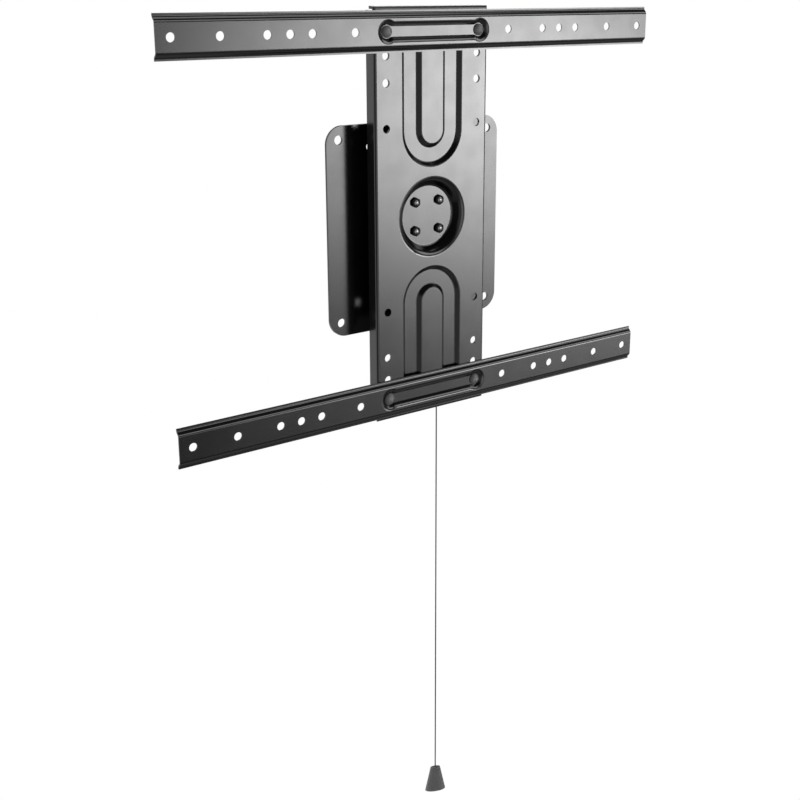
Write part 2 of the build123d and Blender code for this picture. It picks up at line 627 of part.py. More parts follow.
with BuildPart() as guide_screws:
    with BuildSketch(facing_viewer(0)):
        with Locations(*guide_screws_at):
            Circle(GUIDE_SCREW_D / 2)
    extrude(amount=WALL_SHEET + GUIDE_SHEET)
    with BuildSketch(facing_viewer(WALL_SHEET + GUIDE_SHEET)):
        with Locations(*guide_screws_at):
            Circle(GUIDE_SCREW_HEAD_D / 2)
    extrude(amount=GUIDE_SCREW_HEAD_THICK)
    fillet(guide_screws.faces().group_by(Axis.Y)[0].edges(), GUIDE_SCREW_HEAD_ROUND)
finish(guide_screws.part, "guide_screws")

# Return spring between the tab of the wall plate and the slide
coil_r = (SPRING_OUTER_D - SPRING_WIRE_D) / 2
coil_height = spring_length - SPRING_WIRE_D - 2 * CLOSE_FIT
coil_start = tab_top + SPRING_WIRE_D / 2 + CLOSE_FIT
with BuildPart() as latch_spring:
    with BuildLine():
        coil = Helix(
            pitch=coil_height / SPRING_TURNS,
            height=coil_height,
            radius=coil_r,
            center=(0, -spring_axis, coil_start),
        )
    with BuildSketch(Plane(origin=coil @ 0, z_dir=coil % 0)):
        Circle(SPRING_WIRE_D / 2)
    sweep()
finish(latch_spring.part, "latch_spring")

# Cord, its two ferrules and the knob
with BuildPart() as cord_ferrules:
    for height in (shoulder_top, cord_bottom - FERRULE_LENGTH):
        with BuildSketch(across(height)):
            with Locations((CORD_X, -CORD_FROM_WALL)):
                Circle(FERRULE_D / 2)
        extrude(amount=FERRULE_LENGTH)
finish(cord_ferrules.part, "cord_ferrules")

with BuildPart() as pull_cord:
    with BuildSketch(across(cord_bottom)):
        with Locations((CORD_X, -CORD_FROM_WALL)):
            Circle(CORD_D / 2)
    extrude(amount=CORD_LENGTH)
finish(pull_cord.part, "pull_cord")

with BuildPart() as pull_knob:
    for height, width in ((knob_bottom, KNOB_BASE_WIDTH), (knob_top, KNOB_TOP_WIDTH)):
        with BuildSketch(across(height)):
            with Locations((CORD_X, -CORD_FROM_WALL)):
                Ellipse(width / 2, KNOB_FLATNESS * width / 2, rotation=KNOB_TURN)
    loft()
    fillet(pull_knob.faces().filter_by(Axis.Z).edges(), KNOB_EDGE_ROUND)
    with BuildSketch(across(knob_bottom)):
        with Locations((CORD_X, -CORD_FROM_WALL)):
            Circle(KNOB_POCKET_D / 2)
    extrude(amount=KNOB_POCKET_DEPTH, mode=Mode.SUBTRACT)
    with BuildSketch(across(knob_bottom)):
        with Locations((CORD_X, -CORD_FROM_WALL)):
            Circle(CORD_HOLE_D / 2)
    extrude(amount=KNOB_LENGTH, mode=Mode.SUBTRACT)
finish(pull_knob.part, "pull_knob")
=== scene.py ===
"""Swivel television wall mount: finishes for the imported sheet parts, turned and threaded fasteners,
the return spring, the pull cord with its knob, and a plain studio.

Frame: X to the right, Z up, the wall is the plane Y = 0 and the viewer stands at -Y, in metres.
A distance d from the wall means Y = -d.
"""

import math

import bmesh
import bpy
import numpy as np
from mathutils import Euler, Matrix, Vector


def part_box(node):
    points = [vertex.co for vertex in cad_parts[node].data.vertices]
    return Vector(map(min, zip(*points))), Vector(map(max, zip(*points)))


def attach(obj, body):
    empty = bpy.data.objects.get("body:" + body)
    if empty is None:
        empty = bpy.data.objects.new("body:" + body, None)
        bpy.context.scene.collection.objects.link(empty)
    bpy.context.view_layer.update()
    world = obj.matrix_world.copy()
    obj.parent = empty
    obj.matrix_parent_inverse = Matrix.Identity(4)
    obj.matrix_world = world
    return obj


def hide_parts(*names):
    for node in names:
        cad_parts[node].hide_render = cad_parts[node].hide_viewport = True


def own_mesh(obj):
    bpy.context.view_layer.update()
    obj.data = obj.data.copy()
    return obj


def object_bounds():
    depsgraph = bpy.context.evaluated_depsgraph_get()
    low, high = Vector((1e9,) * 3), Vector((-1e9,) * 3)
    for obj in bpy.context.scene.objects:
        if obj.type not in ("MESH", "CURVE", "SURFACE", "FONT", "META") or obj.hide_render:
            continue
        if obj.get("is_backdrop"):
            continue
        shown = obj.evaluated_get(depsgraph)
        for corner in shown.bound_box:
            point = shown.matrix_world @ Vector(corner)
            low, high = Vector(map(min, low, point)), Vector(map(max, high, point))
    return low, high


bl_info = {
    "name": "Swivel TV wall mount",
    "version": (1, 0, 0),
    "blender": (4, 5, 0),
    "location": "3D View > Sidebar > Wall Mount",
    "description": "Finishes and small parts of a rotating television wall mount with a pull cord",
    "category": "Add Mesh",
}

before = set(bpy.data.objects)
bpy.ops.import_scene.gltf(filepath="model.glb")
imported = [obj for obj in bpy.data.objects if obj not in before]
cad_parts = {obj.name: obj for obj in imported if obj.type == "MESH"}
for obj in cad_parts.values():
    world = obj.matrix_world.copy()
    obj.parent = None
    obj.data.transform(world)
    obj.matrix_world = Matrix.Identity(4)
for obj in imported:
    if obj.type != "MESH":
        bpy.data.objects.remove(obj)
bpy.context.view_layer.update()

MM = 0.001
TURN = 2 * math.pi

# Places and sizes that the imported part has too, in metres
HUB_HEIGHT = 0.0125
CORD_X, CORD_Y = 0.022, -0.0125
CORD_TOP, CORD_BOTTOM = -0.0624, -0.7359
RAIL_BOLT_X = 60.0 * MM
RAIL_BOLT_R = 4.0 * MM
STUD_R = 3.0 * MM
PIVOT_THREAD_R = 6.0 * MM
BORE_FIT = 0.02 * MM


class MountSizes(bpy.types.PropertyGroup):
    """Sizes of the pieces that are modelled here."""

    hub_nut_flats: bpy.props.FloatProperty(
        name="Hub nut flats", description="Width across the flats of the four hub nuts",
        default=10.0 * MM, min=0.001, unit="LENGTH")
    rail_nut_flats: bpy.props.FloatProperty(
        name="Rail nut flats", description="Width across the flats of the four rail nuts",
        default=13.0 * MM, min=0.001, unit="LENGTH")
    pivot_nut_flats: bpy.props.FloatProperty(
        name="Pivot nut flats", description="Width across the flats of the pivot nut",
        default=19.0 * MM, min=0.001, unit="LENGTH")
    stud_pitch: bpy.props.FloatProperty(
        name="Stud thread pitch", description="Distance between thread crests on the hub studs",
        default=1.0 * MM, min=0.0002, unit="LENGTH")
    bolt_pitch: bpy.props.FloatProperty(
        name="Bolt thread pitch", description="Distance between thread crests on the rail bolts",
        default=1.25 * MM, min=0.0002, unit="LENGTH")
    spring_wire: bpy.props.FloatProperty(
        name="Spring wire", description="Diameter of the return spring's wire",
        default=0.8 * MM, min=0.0002, unit="LENGTH")
    cord_diameter: bpy.props.FloatProperty(
        name="Cord diameter", description="Diameter of the pull cord",
        default=1.5 * MM, min=0.0003, unit="LENGTH")
    peel_grain: bpy.props.FloatProperty(
        name="Coat grain", description="Size of the powder coat's orange peel",
        default=0.9 * MM, min=0.0001, unit="LENGTH")


class MountColours(bpy.types.PropertyGroup):
    """Colours of the finishes."""

    coat: bpy.props.FloatVectorProperty(
        name="Powder coat", description="Colour of the black powder coat",
        default=(0.0022, 0.0022, 0.0024), size=3, min=0, max=1, subtype="COLOR")
    dark_steel: bpy.props.FloatVectorProperty(
        name="Blackened steel", description="Colour of the visible fasteners",
        default=(0.08, 0.08, 0.083), size=3, min=0, max=1, subtype="COLOR")
    zinc: bpy.props.FloatVectorProperty(
        name="Zinc plate", description="Colour of the plated steel behind the front plate",
        default=(0.40, 0.41, 0.43), size=3, min=0, max=1, subtype="COLOR")
    cast: bpy.props.FloatVectorProperty(
        name="Cast zinc", description="Colour of the latch slide",
        default=(0.30, 0.30, 0.31), size=3, min=0, max=1, subtype="COLOR")
    acetal: bpy.props.FloatVectorProperty(
        name="Acetal", description="Colour of the plastic washer and bush",
        default=(0.72, 0.71, 0.66), size=3, min=0, max=1, subtype="COLOR")
    knob: bpy.props.FloatVectorProperty(
        name="Knob plastic", description="Colour of the pull knob",
        default=(0.085, 0.085, 0.088), size=3, min=0, max=1, subtype="COLOR")
    cord: bpy.props.FloatVectorProperty(
        name="Cord", description="Colour of the braided pull cord",
        default=(0.02, 0.02, 0.021), size=3, min=0, max=1, subtype="COLOR")


class MountStage(bpy.types.PropertyGroup):
    """Floor, light and camera."""

    floor_drop: bpy.props.FloatProperty(
        name="Floor drop", description="Gap between the knob and the floor",
        default=0.45, min=0, unit="LENGTH")
    softbox: bpy.props.FloatProperty(
        name="Softbox", description="Brightness of the large softbox at the front right",
        default=19.5, min=0)
    table: bpy.props.FloatProperty(
        name="Table", description="Brightness of the light that the table below throws back",
        default=1.3, min=0)
    ground: bpy.props.FloatProperty(
        name="Ground", description="Brightness of the light that the floor throws back",
        default=0.3, min=0)
    top_light: bpy.props.FloatProperty(
        name="Top light", description="Brightness of the narrow light above the softbox",
        default=4.5, min=0)
    overhead: bpy.props.FloatProperty(
        name="Overhead", description="Brightness of the light high up on the right",
        default=2.5, min=0)
    left_light: bpy.props.FloatProperty(
        name="Left light", description="Brightness of the soft light on the left",
        default=8.0, min=0)
    fill: bpy.props.FloatProperty(
        name="Fill", description="Brightness of the faint light across the front and the left",
        default=0.5, min=0)
    front: bpy.props.FloatProperty(
        name="Front", description="Brightness of the light straight in front",
        default=1.6, min=0)
    side: bpy.props.FloatProperty(
        name="Side", description="Brightness of the faint lights on both sides",
        default=0.8, min=0)
    rear: bpy.props.FloatProperty(
        name="Rear", description="Brightness of the lights behind",
        default=2.0, min=0)
    ambient: bpy.props.FloatProperty(
        name="Ambient", description="Faint light from every side",
        default=0.05, min=0)
    backdrop: bpy.props.FloatProperty(
        name="Backdrop", description="Brightness of the white backdrop",
        default=1.0, min=0)


def body_from_rows(name, rows, around=True, along=True):
    """Mesh object from an array of points, rows x columns x 3. Point (i, j) joins (i + 1, j) and
    (i, j + 1); columns close round when around is set and rows when along is set. Rows that shrink
    to one point become a pole."""
    count, width = rows.shape[:2]
    i = np.arange(count if along else count - 1)[:, None]
    j = np.arange(width if around else width - 1)[None, :]
    k, m = (i + 1) % count, (j + 1) % width
    quads = np.stack([i * width + j, i * width + m, k * width + m, k * width + j], axis=-1)
    mesh = bpy.data.meshes.new(name)
    mesh.from_pydata(rows.reshape(-1, 3).tolist(), [], quads.reshape(-1, 4).tolist())
    work = bmesh.new()
    work.from_mesh(mesh)
    bmesh.ops.remove_doubles(work, verts=work.verts, dist=1e-7)
    bmesh.ops.dissolve_degenerate(work, edges=work.edges, dist=1e-7)
    bmesh.ops.recalc_face_normals(work, faces=work.faces)
    work.to_mesh(mesh)
    work.free()
    piece = bpy.data.objects.new(name, mesh)
    bpy.context.scene.collection.objects.link(piece)
    return piece


def joined(name, parts):
    """One object from several: their meshes are put into the first, which takes the name."""
    bpy.ops.object.select_all(action="DESELECT")
    for part in parts:
        part.select_set(True)
    bpy.context.view_layer.objects.active = parts[0]
    if len(parts) > 1:
        bpy.ops.object.join()
    parts[0].name = name
    parts[0].data.name = name
    return parts[0]


def smooth(piece, degrees=32):
    """Smooth shading with edges kept sharp above an angle."""
    bpy.ops.object.select_all(action="DESELECT")
    piece.select_set(True)
    bpy.context.view_layer.objects.active = piece
    bpy.ops.object.shade_smooth_by_angle(angle=math.radians(degrees))


def towards_viewer(radius, depth, columns, centre):
    """Turned surface about an axis that points at the viewer. radius is rows x columns and depth
    the distance from the wall of each row or point: x = cx + r cos u, z = cz + r sin u,
    y = -depth."""
    u = np.arange(columns) * TURN / columns
    depth = np.broadcast_to(np.reshape(depth, (len(depth), -1)), radius.shape)
    across, up = radius * np.cos(u), radius * np.sin(u)
    return np.stack([centre[0] + across, -depth, centre[1] + up], axis=-1)


def hexagon(flats, u):
    """Distance from the axis to a hexagon's side in direction u: half the flats over the cosine of
    the angle to the nearest flat. One corner points up."""
    sector = TURN / 6
    return flats / 2 / np.cos((u + sector / 2) % sector - sector / 2)


def nut(name, flats, bore, start, thick, centre):
    """Hexagon nut. Its outside is the smaller of the hexagon and a 30 degree cone at each face, so
    the flats end in round arcs. Its bore is countersunk at both ends."""
    columns, edge_rows = 96, 7
    u = np.arange(columns) * TURN / columns
    edge, sink, face_r = 0.32 * thick, 0.12 * thick, 0.475 * flats
    h = np.concatenate([
        np.linspace(0, edge, edge_rows), np.linspace(thick - edge, thick, edge_rows)])
    to_face = np.minimum(h, thick - h)[:, None]
    cone = face_r + to_face / math.tan(math.radians(30))
    outside = np.minimum(hexagon(flats, u)[None, :], cone)
    bore_h = np.array([thick, thick - sink, sink, 0])
    bore_r = np.array([bore + sink, bore, bore, bore + sink])[:, None]
    radius = np.concatenate([outside, np.broadcast_to(bore_r, (len(bore_r), columns))])
    depth = start + np.concatenate([h, bore_h])
    return body_from_rows(name, towards_viewer(radius, depth, columns, centre))


def thread_rows(outer, pitch, start, end, columns, fade):
    """Radius and depth of a threaded stretch: the radius falls from the crest by a clipped triangle
    wave of depth / pitch - u / turn, and the groove fades out over a length at both ends."""
    rows_per_turn, steepness, crest, depth = 8, 1.35, 0.15, 0.54 * pitch
    steps = max(2, int(round(abs(end - start) / pitch * rows_per_turn)))
    h = np.linspace(start, end, steps + 1)
    u = np.arange(columns) / columns
    wave = np.abs(((h[:, None] / pitch - u[None, :]) % 1.0) * 2 - 1)
    groove = np.clip(wave * steepness - crest, 0, 1) * depth
    ends = np.clip(np.minimum(np.abs(h - start), np.abs(h - end)) / fade, 0, 1)[:, None]
    return outer - groove * ends, h


def finish_piece(piece, body, slot, finish, *node_names):
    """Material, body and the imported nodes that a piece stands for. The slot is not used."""
    piece.data.materials.clear()
    piece.data.materials.append(finish)
    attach(piece, body)
    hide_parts(*node_names)


class Nodes:
    """Short way to write a node tree: each call adds a node and links its inputs by name."""

    def __init__(self, tree):
        self.tree = tree
        tree.nodes.clear()

    def add(self, kind, inputs=(), **settings):
        """New node with its settings; an input is linked to a socket or set to a value."""
        node = self.tree.nodes.new(kind)
        for key, value in settings.items():
            setattr(node, key, value)
        for key, value in dict(inputs).items():
            socket = node.inputs[key]
            if isinstance(value, bpy.types.NodeSocket):
                self.tree.links.new(value, socket)
            else:
                socket.default_value = value
        return node

    def math(self, operation, a, b=0.0):
        """Result of an operation on one or two values."""
        return self.add("ShaderNodeMath", {0: a, 1: b}, operation=operation).outputs[0]

    def ramp(self, value, low, high, to_low, to_high):
        """Smooth step of a value from one range to another."""
        ranges = {"From Min": low, "From Max": high, "To Min": to_low, "To Max": to_high}
        step = self.add(
            "ShaderNodeMapRange", {"Value": value, **ranges}, interpolation_type="SMOOTHSTEP")
        return step.outputs["Result"]

    def noise(self, vector, size, detail):
        """Noise whose patches are about a size, in metres, across."""
        texture = self.add(
            "ShaderNodeTexNoise", {"Vector": vector, "Scale": 1 / size, "Detail": detail})
        return texture.outputs["Fac"]

    def bump(self, height, strength, distance):
        """Normal of a surface raised by a height."""
        raised = self.add(
            "ShaderNodeBump", {"Strength": strength, "Distance": distance, "Height": height})
        return raised.outputs[0]

    def tint(self, fac, dark, light):
        """Mix of two colours by a factor."""
        mix = self.add("ShaderNodeMix", {"Factor": fac}, data_type="RGBA")
        mix.inputs[6].default_value = (*dark, 1)
        mix.inputs[7].default_value = (*light, 1)
        return mix.outputs[2]


def material(name):
    """Empty node material, its nodes and its object coordinates."""
    made = bpy.data.materials.new(name)
    made.use_nodes = True
    nodes = Nodes(made.node_tree)
    place = nodes.add("ShaderNodeTexCoord").outputs["Object"]
    return made, nodes, place


def surface(made, nodes, inputs):
    """Principled surface into the material's output."""
    shader = nodes.add("ShaderNodeBsdfPrincipled", inputs)
    out = nodes.add("ShaderNodeOutputMaterial")
    made.node_tree.links.new(shader.outputs[0], out.inputs["Surface"])
    return made


def scaled(colour, factor):
    """A colour times a factor."""
    return tuple(channel * factor for channel in colour)


def powder_coat(name, colour, grain, ior):
    """Black powder coat: satin gloss over a fine orange peel, with slow changes of gloss."""
    made, nodes, place = material(name)
    peel = nodes.noise(place, grain, 1.5)
    slow = nodes.noise(place, 30 * grain, 2.0)
    raised = nodes.bump(peel, 0.12, 0.02 * grain)
    return surface(made, nodes, {
        "Base Color": nodes.tint(slow, scaled(colour, 0.85), scaled(colour, 1.2)),
        "Roughness": nodes.ramp(slow, 0.3, 0.7, 0.165, 0.195),
        "IOR": ior,
        "Normal": raised,
    })


def metal(name, colour, roughness, grain):
    """Bare or plated metal: fine grain in gloss, slow clouds in colour and a shallow bump."""
    made, nodes, place = material(name)
    fine = nodes.noise(place, grain, 3.0)
    cloud = nodes.noise(place, 12 * grain, 2.0)
    raised = nodes.bump(fine, 0.3, 0.03 * grain)
    return surface(made, nodes, {
        "Base Color": nodes.tint(cloud, scaled(colour, 0.88), colour),
        "Roughness": nodes.ramp(fine, 0.3, 0.7, roughness - 0.05, roughness + 0.07),
        "Metallic": 1.0,
        "Normal": raised,
    })


def moulded(name, colour, roughness, grain, ior=1.45):
    """Dull skin of a moulded or blackened piece: even colour over a fine texture."""
    made, nodes, place = material(name)
    texture = nodes.noise(place, grain, 2.0)
    slow = nodes.noise(place, 25 * grain, 2.0)
    raised = nodes.bump(texture, 0.4, 0.05 * grain)
    return surface(made, nodes, {
        "Base Color": nodes.tint(slow, scaled(colour, 0.85), scaled(colour, 1.15)),
        "Roughness": nodes.ramp(texture, 0.3, 0.7, roughness - 0.04, roughness + 0.04),
        "IOR": ior,
        "Normal": raised,
    })


def braid(name, colour, pitch):
    """Braided cord: two sets of slanting strands that cross, from waves along the cord whose bands
    lie about a pitch apart."""
    made, nodes, place = material(name)
    strands = []
    for slant in (0.6, -0.6):
        turned = nodes.add("ShaderNodeMapping", {"Vector": place, "Rotation": (0, slant, 0)})
        wave = nodes.add(
            "ShaderNodeTexWave",
            {"Vector": turned.outputs[0], "Scale": 1 / pitch / TURN * 2, "Distortion": 0.0},
            bands_direction="Z")
        strands.append(wave.outputs["Fac"])
    # The strands' height also sets the colour: painted shade in the gaps between the strands and
    # painted light on their tops.
    height = nodes.math("MAXIMUM", *strands)
    raised = nodes.bump(height, 0.6, 0.1 * pitch)
    return surface(made, nodes, {
        "Base Color": nodes.tint(height, scaled(colour, 0.4), scaled(colour, 1.3)),
        "Roughness": 0.75,
        "Normal": raised,
    })


def dress(finish, *node_names):
    """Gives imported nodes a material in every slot."""
    for node_name in node_names:
        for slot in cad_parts[node_name].material_slots:
            slot.material = finish


class MOUNT_OT_sheet_parts(bpy.types.Operator):
    """Powder coat on the wall plate, front plate, rails and latch guide"""

    bl_idname = "mount.sheet_parts"
    bl_label = "Sheet parts"

    def execute(self, context):
        colours, sizes = context.scene.mount_colours, context.scene.mount_sizes
        coat = powder_coat("black_powder_coat", tuple(colours.coat), sizes.peel_grain, 1.5)
        dress(coat, "front_plate", "upper_rail", "lower_rail")
        dull = powder_coat("thin_powder_coat", tuple(colours.coat), sizes.peel_grain, 1.45)
        dress(dull, "wall_plate", "latch_guide")
        return {"FINISHED"}


class MOUNT_OT_hidden_parts(bpy.types.Operator):
    """Finishes of the bearing and the latch, which stand behind the front plate"""

    bl_idname = "mount.hidden_parts"
    bl_label = "Bearing and latch"

    def execute(self, context):
        colours = context.scene.mount_colours
        zinc = metal("zinc_plate", tuple(colours.zinc), 0.34, 0.4 * MM)
        dress(zinc, "pivot_bolt", "retaining_washer", "index_disc", "hub_spacers", "guide_screws")
        dark = metal("black_washer", tuple(colours.dark_steel), 0.42, 0.4 * MM)
        dress(dark, "rail_washers")
        cast = metal("cast_zinc", tuple(colours.cast), 0.5, 0.9 * MM)
        dress(cast, "latch_slide")
        acetal = moulded("acetal", tuple(colours.acetal), 0.42, 0.3 * MM)
        dress(acetal, "rear_thrust_washer", "flange_bush")
        return {"FINISHED"}


class MOUNT_OT_hub_fasteners(bpy.types.Operator):
    """Four studs with threaded tips and four nuts in the dish"""

    bl_idname = "mount.hub_fasteners"
    bl_label = "Hub studs and nuts"

    def execute(self, context):
        sizes, colours = context.scene.mount_sizes, context.scene.mount_colours
        dark = moulded("black_zinc", scaled(tuple(colours.dark_steel), 0.1), 0.6, 0.5 * MM, 1.2)
        nut_low, nut_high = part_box("hub_nuts")
        stud_low, stud_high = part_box("hub_studs")
        head_r, head_thick = 4.5 * MM, 1.2 * MM
        spacing = stud_high[0] - head_r
        centres = [(x * spacing, HUB_HEIGHT + z * spacing) for x in (1, -1) for z in (1, -1)]
        dish_floor, thick = -nut_high[1], nut_high[1] - nut_low[1]
        disc_back, tip = -stud_high[1], -stud_low[1]
        flats, bore = sizes.hub_nut_flats, STUD_R + BORE_FIT
        nuts = [nut("hub_nut", flats, bore, dish_floor, thick, centre) for centre in centres]
        piece = joined("hub_hex_nuts", nuts)
        smooth(piece)
        finish_piece(piece, "rotor", "black_steel", dark, "hub_nuts")
        columns, dome_rows = 48, 8
        thread_start, thread_fade = dish_floor - 1.0 * MM, 0.8 * MM
        tip_taper = 0.5 * MM
        thread_r, thread_h = thread_rows(
            STUD_R, sizes.stud_pitch, thread_start, tip - tip_taper, columns, thread_fade)
        head = np.array([0, head_r, head_r, STUD_R])
        head_h = disc_back + np.array([0, 0, head_thick, head_thick])
        # The tip is a low dome: its height falls with the square of the distance from the axis.
        dome = np.linspace(0.88, 0, dome_rows)
        radius = np.concatenate([
            np.broadcast_to(head[:, None], (len(head), columns)), thread_r,
            np.broadcast_to(STUD_R * dome[:, None], (dome_rows, columns))])
        depth = np.concatenate([head_h, thread_h, tip - tip_taper * dome**2])
        studs = [
            body_from_rows("hub_stud", towards_viewer(radius, depth, columns, centre), along=False)
            for centre in centres
        ]
        piece = joined("hub_threaded_studs", studs)
        smooth(piece)
        # The stud tips are a little brighter than the nuts.
        bright = metal("stud_steel", scaled(tuple(colours.zinc), 0.37), 0.25, 0.3 * MM)
        finish_piece(piece, "rotor", "black_steel", bright, "hub_studs")
        return {"FINISHED"}


class MOUNT_OT_rail_fasteners(bpy.types.Operator):
    """Four domed bolts on the rails and their nuts behind the front plate"""

    bl_idname = "mount.rail_fasteners"
    bl_label = "Rail bolts and nuts"

    def execute(self, context):
        sizes, colours = context.scene.mount_sizes, context.scene.mount_colours
        bolt_low, bolt_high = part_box("rail_bolts")
        nut_low, nut_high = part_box("rail_nuts")
        head_r = bolt_high[0] - RAIL_BOLT_X
        rows = (bolt_low[2] + head_r, bolt_high[2] - head_r)
        centres = [(x * RAIL_BOLT_X, z) for x in (1, -1) for z in rows]
        head_top, shank_end = -bolt_low[1], -bolt_high[1]
        # Dome: a circle's arc from the rim of the head to its centre.
        rim, rise, dome_rows = 0.8 * MM, 3.2 * MM, 14
        head_seat = head_top - rim - rise
        dome_r = (head_r**2 + rise**2) / (2 * rise)
        dome = np.linspace(1, 0, dome_rows) * head_r
        dome_h = head_seat + rim + np.sqrt(dome_r**2 - dome**2) - (dome_r - rise)
        # Neck: a square with rounded corners, as a superellipse.
        columns, power = 64, 8
        u = np.arange(columns) * TURN / columns
        corners = np.abs(np.cos(u)) ** power + np.abs(np.sin(u)) ** power
        neck = RAIL_BOLT_R / corners ** (1 / power)
        neck_back, shoulder = head_seat - 1.5 * MM, 0.05 * MM
        # Thread: from the chamfered end of the shank to a little in front of the nut.
        chamfer, end_r, past_nut, fade = 0.6 * MM, 3.2 * MM, 2.0 * MM, 1.0 * MM
        thread_r, thread_h = thread_rows(
            RAIL_BOLT_R, sizes.bolt_pitch, shank_end + chamfer, -nut_low[1] + past_nut,
            columns, fade)
        circle = np.ones((1, columns))
        radius = np.concatenate([
            0 * circle, end_r * circle, thread_r, RAIL_BOLT_R * circle, neck[None, :],
            neck[None, :], head_r * circle, head_r * circle, dome[1:, None] * circle])
        depth = np.concatenate([
            [shank_end, shank_end], thread_h,
            [neck_back - shoulder, neck_back, head_seat, head_seat, head_seat + rim],
            dome_h[1:]])
        bolts = [
            body_from_rows("rail_bolt", towards_viewer(radius, depth, columns, centre), along=False)
            for centre in centres
        ]
        piece = joined("rail_domed_bolts", bolts)
        smooth(piece)
        steel = moulded(
            "blackened_steel", scaled(tuple(colours.dark_steel), 1.25), 0.42, 0.5 * MM, 1.5)
        finish_piece(piece, "rotor", "black_steel", steel, "rail_bolts")
        start, thick = -nut_high[1], nut_high[1] - nut_low[1]
        flats, bore = sizes.rail_nut_flats, RAIL_BOLT_R + BORE_FIT
        nuts = [nut("rail_nut", flats, bore, start, thick, centre) for centre in centres]
        piece = joined("rail_hex_nuts", nuts)
        smooth(piece)
        finish_piece(piece, "rotor", "black_steel", steel, "rail_nuts")
        return {"FINISHED"}


class MOUNT_OT_latch_fasteners(bpy.types.Operator):
    """Pivot nut and the return spring"""

    bl_idname = "mount.latch_fasteners"
    bl_label = "Pivot nut and spring"

    def execute(self, context):
        sizes, colours = context.scene.mount_sizes, context.scene.mount_colours
        low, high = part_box("pivot_nut")
        zinc = metal("zinc_nut", tuple(colours.zinc), 0.36, 0.4 * MM)
        flats, bore = sizes.pivot_nut_flats, PIVOT_THREAD_R + BORE_FIT
        hub = (0, HUB_HEIGHT)
        piece = nut("pivot_hex_nut", flats, bore, -high[1], high[1] - low[1], hub)
        smooth(piece)
        finish_piece(piece, "wall_side", "bare_steel", zinc, "pivot_nut")
        low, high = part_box("latch_spring")
        piece = spring("return_spring", low, high, sizes.spring_wire)
        smooth(piece, 60)
        wire = metal("spring_wire", scaled(tuple(colours.zinc), 0.6), 0.28, 0.2 * MM)
        finish_piece(piece, "wall_side", "bare_steel", wire, "latch_spring")
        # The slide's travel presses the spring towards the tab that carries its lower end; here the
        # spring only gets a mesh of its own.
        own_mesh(piece)
        return {"FINISHED"}


def spring(name, low, high, wire):
    """Coil spring that fills a box. Its line is (R cos a, R sin a, z(a)), with z rising by one wire
    a turn in the closed end turns and evenly between them. The wire is a circle about that line,
    flattened to the box at both ends as if ground."""
    turns, sides, steps = 8, 14, 48
    radius = (high[0] - low[0]) / 2 - wire / 2
    a = np.linspace(0, turns * TURN, turns * steps + 1)
    closed = 1.0 / turns
    rise, height = wire / 2, high[2] - low[2]
    z = low[2] + np.interp(
        a / a[-1], [0, closed, 1 - closed, 1],
        [rise, rise + wire, height - rise - wire, height - rise])
    line = np.stack([radius * np.cos(a), radius * np.sin(a), z], axis=-1)
    along = np.gradient(line, axis=0)
    along /= np.linalg.norm(along, axis=1)[:, None]
    outward = np.stack([np.cos(a), np.sin(a), 0 * a], axis=-1)
    side = np.cross(along, outward)
    v = (np.arange(sides) * TURN / sides)[None, :, None]
    ring = np.cos(v) * outward[:, None, :] + np.sin(v) * side[:, None, :]
    tube = line[:, None, :] + wire / 2 * ring
    ends = np.repeat(line[[0, -1], None, :], sides, 1)
    tube = np.concatenate([ends[:1], tube, ends[1:]])
    tube[..., 0] += (low[0] + high[0]) / 2
    tube[..., 1] += (low[1] + high[1]) / 2
    tube[..., 2] = np.clip(tube[..., 2], low[2], high[2])
    return body_from_rows(name, tube, along=False)


class MOUNT_OT_pull_cord(bpy.types.Operator):
    """Braided cord, its two crimps and the knob"""

    bl_idname = "mount.pull_cord"
    bl_label = "Pull cord and knob"

    def execute(self, context):
        sizes, colours = context.scene.mount_sizes, context.scene.mount_colours
        # The cord hangs straight down from the ear of the latch slide. Two points near its ends
        # share its line.
        heights = (CORD_TOP, -0.080, -0.705, CORD_BOTTOM)
        points = [(CORD_X, CORD_Y, height) for height in heights]
        curve = bpy.data.curves.new("cord_line", "CURVE")
        curve.dimensions = "3D"
        spline = curve.splines.new("NURBS")
        spline.points.add(len(points) - 1)
        for point, place in zip(spline.points, points):
            point.co = (*place, 1)
        spline.order_u = 3
        spline.use_endpoint_u = True
        spline.resolution_u = 12
        curve.bevel_depth = sizes.cord_diameter / 2
        curve.bevel_resolution = 3
        curve.use_fill_caps = True
        cord = bpy.data.objects.new("cord_line", curve)
        bpy.context.scene.collection.objects.link(cord)
        woven = braid("braided_cord", tuple(colours.cord), 0.9 * MM)
        finish_piece(cord, "latch", "black_cord", woven, "pull_cord")

        steel = metal("crimp_steel", scaled(tuple(colours.zinc), 0.8), 0.36, 0.3 * MM)
        low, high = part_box("cord_ferrules")
        length, outer, axis = 5.0 * MM, 2.0 * MM, (CORD_X, CORD_Y)
        starts = (high[2] - length, low[2])
        crimps = [crimp("crimp", start, length, outer, axis) for start in starts]
        ferrules = joined("cord_crimps", crimps)
        smooth(ferrules)
        finish_piece(ferrules, "latch", "bare_steel", steel, "cord_ferrules")

        low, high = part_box("pull_knob")
        knob = pull_knob("cord_knob", low[2], high[2] - low[2], axis)
        smooth(knob, 40)
        plastic = moulded("knob_plastic", tuple(colours.knob), 0.62, 0.35 * MM)
        finish_piece(knob, "latch", "black_plastic", plastic, "pull_knob")
        return {"FINISHED"}


def upright(radius, height, columns, centre):
    """Turned surface about a vertical axis: x = cx + r cos u, y = cy + r sin u, z = height."""
    u = np.arange(columns) * TURN / columns
    height = np.broadcast_to(np.reshape(height, (len(height), -1)), radius.shape)
    across, back = radius * np.cos(u), radius * np.sin(u)
    return np.stack([centre[0] + across, centre[1] + back, height], axis=-1)


